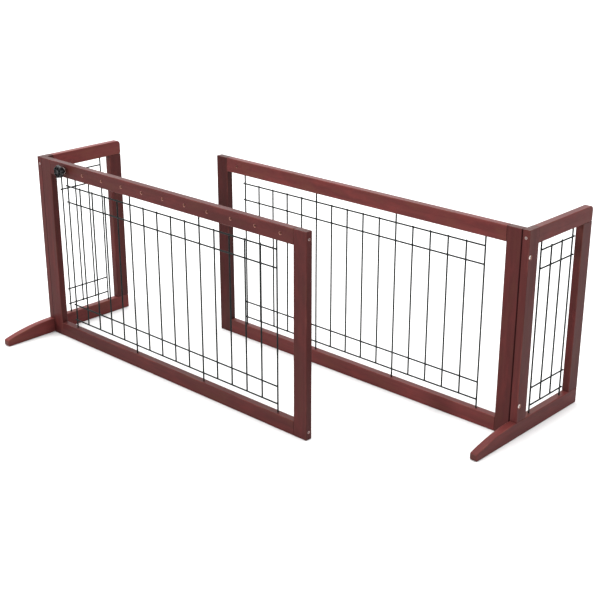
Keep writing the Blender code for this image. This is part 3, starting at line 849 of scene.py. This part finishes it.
def knob_mesh():
    """A star knob on a boss, back at z = 0 and face at +z, with ribbed pockets in its face."""
    size = size_of("lock_knob")
    rim, crown = max(size.x, size.z) / 2, size.y
    face = crown - KNOB_CROWN_RISE
    grip_back = face - KNOB_GRIP
    levels = (rim, face, crown)
    boss = KNOB_BOSS_RADIUS
    rings = [(0.0, crown - KNOB_DISH)]
    rings += [knob_ring(share, None, *levels) for share in KNOB_FACE_SHARES]
    rings += [knob_ring(share, face - drop, *levels) for share, drop in KNOB_RIM_STEPS]
    rings += [knob_ring(KNOB_BACK_SHARE, grip_back, *levels), (boss + 0.0012, grip_back),
              (boss + 0.0004, grip_back - 0.0004), (boss, grip_back - 0.0012),
              (boss, 0.0006), (boss - 0.0006, 0.0), (KNOB_STUD_HOLE, 0.0),
              (KNOB_STUD_HOLE, KNOB_STUD_DEPTH), (0.0, KNOB_STUD_DEPTH)]
    shape = bmesh.new()
    lathe(shape, rings, KNOB_SIDES)
    return finished_mesh("lock_knob_plastic", shape, ROUND_PIECE_SHARP_ANGLE)


def stud_mesh(radius, length):
    """A threaded stud, top at z = 0, with a chamfered point."""
    shape = bmesh.new()
    rings = [(0.0, 0.0), (radius * 0.9, 0.0), (radius, -0.0003)]
    rings += thread(radius, radius * THREAD_ROOT, STUD_PITCH, -0.0004, 0.0012 - length)
    rings += [(radius * 0.78, 0.0004 - length), (radius * 0.66, -length), (0.0, -length)]
    lathe(shape, rings, THREAD_SIDES)
    return finished_mesh("knob_stud_steel", shape)


def washer_mesh(outer, thickness):
    """A flat washer, top at z = 0, its edges eased."""
    inner, edge = WASHER_HOLE, METAL_EASE
    shape = bmesh.new()
    rings = [(inner + edge, 0.0), (outer - edge, 0.0), (outer, -edge), (outer, edge - thickness),
             (outer - edge, -thickness), (inner + edge, -thickness), (inner, edge - thickness),
             (inner, -edge)]
    lathe(shape, rings, WASHER_SIDES, closed=True)
    return finished_mesh("knob_washer_steel", shape)


def tee_nut_mesh(flange, length):
    """A tee nut, flange top at z = 0, with its barrel and prongs along -z."""
    thickness, barrel, edge = NUT_FLANGE_THICKNESS, NUT_BARREL, METAL_EASE
    shape = bmesh.new()
    rings = [(NUT_HOLE + edge, 0.0), (flange - edge, 0.0), (flange, -edge),
             (flange, edge - thickness), (flange - edge, -thickness), (barrel + edge, -thickness),
             (barrel, -thickness - edge), (barrel, edge - length), (barrel - edge, -length),
             (NUT_HOLE + edge, -length)]
    lathe(shape, rings, NUT_SIDES, closed=True)
    for index in range(NUT_PRONGS):
        add_prong(shape, flange - NUT_PRONG_INSET, FULL_TURN * (index + 0.5) / NUT_PRONGS)
    return finished_mesh("tee_nut_steel", shape)


def add_prong(shape, radius, turn):
    """One pointed prong of the tee nut, from inside the flange towards the wood."""
    root = -NUT_FLANGE_THICKNESS / 2
    tip = -NUT_FLANGE_THICKNESS - NUT_PRONG_REACH
    points = []
    for share, sides in ((1.0, (-1, 1)), (NUT_PRONG_THICKENING, (1, -1))):
        for side in sides:
            angle = turn + side * NUT_PRONG_SPREAD
            points.append((radius * share * math.cos(angle), radius * share * math.sin(angle), root))
    points.append((radius * math.cos(turn), radius * math.sin(turn), tip))
    verts = [shape.verts.new(point) for point in points]
    shape.faces.new(verts[:4])
    for index in range(4):
        shape.faces.new((verts[index], verts[(index + 1) % 4], verts[4]))


def bore_width_holes(start):
    """Note the row of holes through the left top rail, from the knob's own hole along +X."""
    low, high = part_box("left_panel_top_rail")
    slide = joints["width_slide"]["range_m"]
    step = (slide[1] - slide[0]) / (WIDTH_HOLES - 1)
    depth, radius, lip = high.y - low.y, WIDTH_HOLE_RADIUS, WIDTH_HOLE_LIP
    hole = [(0.0, BORE_LEAD), (radius + lip, BORE_LEAD), (radius + lip, 0.0), (radius, -lip),
            (radius, lip - depth), (radius + lip, -depth), (radius + lip, -depth - BORE_LEAD),
            (0.0, -depth - BORE_LEAD)]
    for index in range(WIDTH_HOLES):
        place = placed((start.x + step * index, low.y, start.z), Y)
        bore(["left_panel_top_rail"], hole, place)


def build_lock():
    """The lock knob with its stud and washer, the tee nut, and the holes that they use."""
    axis = Vector(joints["knob_turn"]["pos_m"])
    knob = new_object("lock_knob_plastic", knob_mesh(), [PLASTIC])
    knob.matrix_world = placed((axis.x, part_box("lock_knob")[1].y, axis.z), Y)
    stand_for(knob, "lock_knob")

    stud = size_of("knob_stud")
    washer = size_of("knob_washer")
    nut = size_of("tee_nut")
    put_turned("knob_stud", stud_mesh(stud.x / 2, stud.y), Y)
    put_turned("knob_washer", washer_mesh(washer.x / 2, washer.y), Y)
    put_turned("tee_nut", tee_nut_mesh(nut.x / 2, nut.y), -Y)

    through_rail = size_of("right_panel_top_rail").y + BORE_LEAD
    nut_bore = bore_profile((nut.x / 2 + BORE_CLEARANCE, NUT_FLANGE_THICKNESS + NUT_BORE_SLACK),
                            (NUT_BARREL + BORE_CLEARANCE, nut.y + NUT_BORE_SLACK),
                            (stud.x / 2 + BORE_CLEARANCE, through_rail))
    bore(["right_panel_top_rail"], nut_bore, placed(end_of("tee_nut", -Y), -Y))
    bore_width_holes(axis)


# ---------------------------------------------------------------- boards

def lay(along, thickness):
    """The rotation that turns local X to a board's length and local Z to its thickness."""
    return Matrix((along, thickness.cross(along), thickness)).transposed()


def ease(shape, edges, radius, segments):
    """Round some edges of a shape."""
    bmesh.ops.bevel(shape, geom=edges, offset=radius, offset_type="OFFSET", segments=segments,
                    profile=0.5, affect="EDGES", clamp_overlap=True)


def straight_board(length, width, thickness, ends, closed_side=0):
    """A planed board centred on the origin, its length along X, each end eased by its radius.

    The long edges on closed_side (-1 or 1 along Y) meet another board and are left nearly square.
    """
    shape = bmesh.new()
    bmesh.ops.create_cube(shape, size=1.0)
    bmesh.ops.scale(shape, vec=(length, width, thickness), verts=shape.verts)
    long_edges = [edge for edge in shape.edges
                  if abs(edge.verts[0].co.x - edge.verts[1].co.x) > length / 2]
    closed = [edge for edge in long_edges if edge.verts[0].co.y * closed_side > 0]
    ease(shape, [edge for edge in long_edges if edge not in closed], ARRIS, ARRIS_SEGMENTS)
    if closed:
        ease(shape, [edge for edge in closed if edge.is_valid], CLOSED_ARRIS, 2)
    for sign, radius in zip((-1, 1), ends):
        shape.normal_update()
        end = [face for face in shape.faces if face.normal.x * sign > 0.99]
        edges = list({edge for face in end for edge in face.edges})
        ease(shape, edges, radius, 3)
    return shape


def fillet(before, corner, after, radius, segments=8):
    """Points of an arc that rounds one corner of an outline."""
    corner = Vector(corner)
    to_before = (Vector(before) - corner).normalized()
    to_after = (Vector(after) - corner).normalized()
    half_angle = to_before.angle(to_after) / 2
    setback = radius / math.tan(half_angle)
    centre = corner + (to_before + to_after).normalized() * radius / math.sin(half_angle)
    start = (corner + to_before * setback - centre).normalized()
    end = (corner + to_after * setback - centre).normalized()
    return [centre + start.slerp(end, step / segments) * radius for step in range(segments + 1)]


def outline_board(outline, thickness, butted_x=None):
    """A board cut to an outline of (x, y) points, edges rounded but for a butted end at butted_x."""
    shape = bmesh.new()
    base = shape.faces.new([shape.verts.new((x, y, -thickness / 2)) for x, y in outline])
    raised = bmesh.ops.extrude_face_region(shape, geom=[base])
    lifted = [item for item in raised["geom"] if isinstance(item, bmesh.types.BMVert)]
    bmesh.ops.translate(shape, vec=(0.0, 0.0, thickness), verts=lifted)
    bmesh.ops.recalc_face_normals(shape, faces=shape.faces)
    rims = []
    for edge in shape.edges:
        flat = abs(edge.verts[0].co.z - edge.verts[1].co.z) < 1e-6
        at_butt = butted_x is not None and all(
            abs(vert.co.x - butted_x) < 1e-5 for vert in edge.verts)
        if flat and not at_butt:
            rims.append(edge)
    ease(shape, rims, ARRIS, ARRIS_SEGMENTS)
    return shape


def beam_outline(node, panel_front):
    """The wing beam's side outline about its own centre: level, then curving down to the toe."""
    low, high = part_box(node)
    centre = (low + high) / 2
    height = high.z - low.z
    reach = panel_front - low.y
    drop = height - FOOT_TIP_HEIGHT
    sweep = (reach ** 2 + drop ** 2) / (2 * drop)
    steps = 28
    far_top, far_bottom = (high.y, height), (high.y, 0.0)
    top = []
    for index in range(steps):
        along = -reach * index / steps
        top.append((panel_front + along, height - sweep + math.sqrt(sweep ** 2 - along ** 2)))
    toe_top, toe_bottom = (low.y, FOOT_TIP_HEIGHT), (low.y, 0.0)
    outline = fillet(far_bottom, far_top, top[0], OUTLINE_CORNER)
    outline += top
    outline += fillet(top[-1], toe_top, toe_bottom, TOE_TOP_RADIUS)
    outline += fillet(toe_top, toe_bottom, far_bottom, TOE_BOTTOM_RADIUS)
    outline += fillet(toe_bottom, far_bottom, far_top, OUTLINE_CORNER)
    return [(point[0] - centre.y, point[1] - height / 2) for point in outline]


def wing_rail_outline(node):
    """The wing top rail's side outline about its own centre, rounded over the far post."""
    size = size_of(node)
    near, far = -size.y / 2, size.y / 2
    low, high = -size.z / 2, size.z / 2
    outline = [(near, low), (near, high)]
    outline += fillet((near, high), (far, high), (far, low), WING_RAIL_NOSE)
    outline += fillet((far, high), (far, low), (near, low), WING_RAIL_UNDER_CORNER)
    return outline


def mark_arrises(mesh, joined=None):
    """Flag the rounded edge faces: 1 where they are lighter, for thin stain and a painted highlight;
    -1 beside a joint, where they are darkened as painted shade.

    joined is the (axis, sign) of the side that lies against another board.
    """
    flag = mesh.attributes.new("arris", "FLOAT", "FACE")
    for face in mesh.polygons:
        value = 0.0
        if 0.08 < abs(face.normal.z) < 0.992 and face.material_index == 0:
            value = 1.0
            # edges on the joined side get -1, to be darkened as painted shade
            if joined and face.center[joined[0]] * joined[1] > 0:
                value = -1.0
        flag.data[face.index].value = value


def put_board(node, shape, along, thickness, grain, tone, joined=None):
    """Bore a board's shape as its fasteners need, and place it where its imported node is."""
    turn = lay(along, thickness)
    place = Matrix.Translation(middle(node)) @ turn.to_4x4()
    mesh = finished_mesh(node + "_wood", shape)
    tool = bmesh.new()
    for profile, bore_place in bores.get(node, []):
        lathe(tool, profile, BORE_SIDES, place.inverted() @ bore_place)
    mesh = cut(mesh, tool, node + "_wood")
    mark_arrises(mesh, joined)
    board = new_object(node + "_wood", mesh, [WOOD, BORE_WOOD])
    board.matrix_world = place
    board["grain"] = grain
    board["tone"] = tone
    keep_flats_flat(board)
    return stand_for(board, node)


def build_boards():
    """The eight wooden members of each half."""
    for side_index, (side, inward) in enumerate(inward_of.items()):
        seed = 10.0 * side_index
        straight = {
            "panel_outer_stile": (Z, Y, (EXPOSED_END, EXPOSED_END)),
            "panel_inner_stile": (Z, Y, (EXPOSED_END, EXPOSED_END)),
            "panel_top_rail": (X, Y, (BUTTED_END, BUTTED_END)),
            "panel_bottom_rail": (X, Y, (BUTTED_END, BUTTED_END)),
            "wing_near_post": (Z, X, (BUTTED_END, EXPOSED_END)),
            "wing_far_post": (Z, X, (BUTTED_END, BUTTED_END)),
        }
        for index, (name, (along, thickness, ends)) in enumerate(straight.items()):
            node = f"{side}_{name}"
            size = size_of(node)
            length = size.dot(along)
            thick = size.dot(thickness)
            width = size.x + size.y + size.z - length - thick
            closed_side = -1 if name == "wing_near_post" else 0
            shape = straight_board(length, width, thick, ends, closed_side)
            joined = {"wing_near_post": (2, inward.x), "panel_outer_stile": (1, -inward.x)}.get(name)
            put_board(node, shape, along, thickness, seed + 1.37 * index, STAIN_AND_LIGHT_TONES[side][name], joined)
        beam = f"{side}_wing_foot_beam"
        rail = f"{side}_wing_top_rail"
        thick = size_of(beam).x
        panel_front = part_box(f"{side}_panel_outer_stile")[0].y
        shape = outline_board(beam_outline(beam, panel_front), thick)
        put_board(beam, shape, Y, X, seed + 8.1, STAIN_AND_LIGHT_TONES[side]["wing_foot_beam"])
        shape = outline_board(wing_rail_outline(rail), thick, -size_of(rail).y / 2)
        put_board(rail, shape, Y, X, seed + 9.3, STAIN_AND_LIGHT_TONES[side]["wing_top_rail"])


# ---------------------------------------------------------------- studio

def build_studio():
    """A pale floor, an even surround, soft light from three sides, and the camera."""
    mesh = bpy.data.meshes.new("floor")
    shape = bmesh.new()
    bmesh.ops.create_grid(shape, x_segments=1, y_segments=1, size=60.0)
    shape.to_mesh(mesh)
    shape.free()
    n = Nodes("pale_floor", Roughness=0.9, Specular_IOR_Level=0.1)
    n.shader.inputs["Base Color"].default_value = (FLOOR_ALBEDO, FLOOR_ALBEDO, FLOOR_ALBEDO, 1.0)
    floor = new_object("floor", mesh, [n.material])
    floor.location.z = -0.0002

    world = bpy.data.worlds.new("studio")
    world.use_nodes = True
    background = world.node_tree.nodes["Background"]
    background.inputs["Color"].default_value = (1.0, 1.0, 1.0, 1.0)
    background.inputs["Strength"].default_value = WORLD_STRENGTH
    bpy.context.scene.world = world

    for name, (direction, energy, spread) in LAMPS.items():
        lamp = bpy.data.lights.new(name, "SUN")
        lamp.energy = energy
        lamp.angle = math.radians(spread)
        holder = bpy.data.objects.new(name, lamp)
        bpy.context.scene.collection.objects.link(holder)
        holder.rotation_euler = Vector(direction).to_track_quat("Z", "Y").to_euler()

    centre = (cad_low + cad_high) / 2
    azimuth, elevation = math.radians(CAMERA_AZIMUTH), math.radians(CAMERA_ELEVATION)
    back = Vector((math.sin(azimuth) * math.cos(elevation),
                   -math.cos(azimuth) * math.cos(elevation), math.sin(elevation)))
    lens = bpy.data.cameras.new("camera")
    lens.lens = CAMERA_LENS
    lens.clip_start, lens.clip_end = 0.1, 200.0
    camera = bpy.data.objects.new("camera", lens)
    bpy.context.scene.collection.objects.link(camera)
    camera.location = centre + Vector(CAMERA_AIM) + back * CAMERA_DISTANCE
    camera.rotation_euler = (-back).to_track_quat("-Z", "Y").to_euler()
    bpy.context.scene.camera = camera
    bpy.context.scene.view_settings.view_transform = "Standard"


build_studio()
build_fasteners()
build_grids()
build_lock()
build_boards()
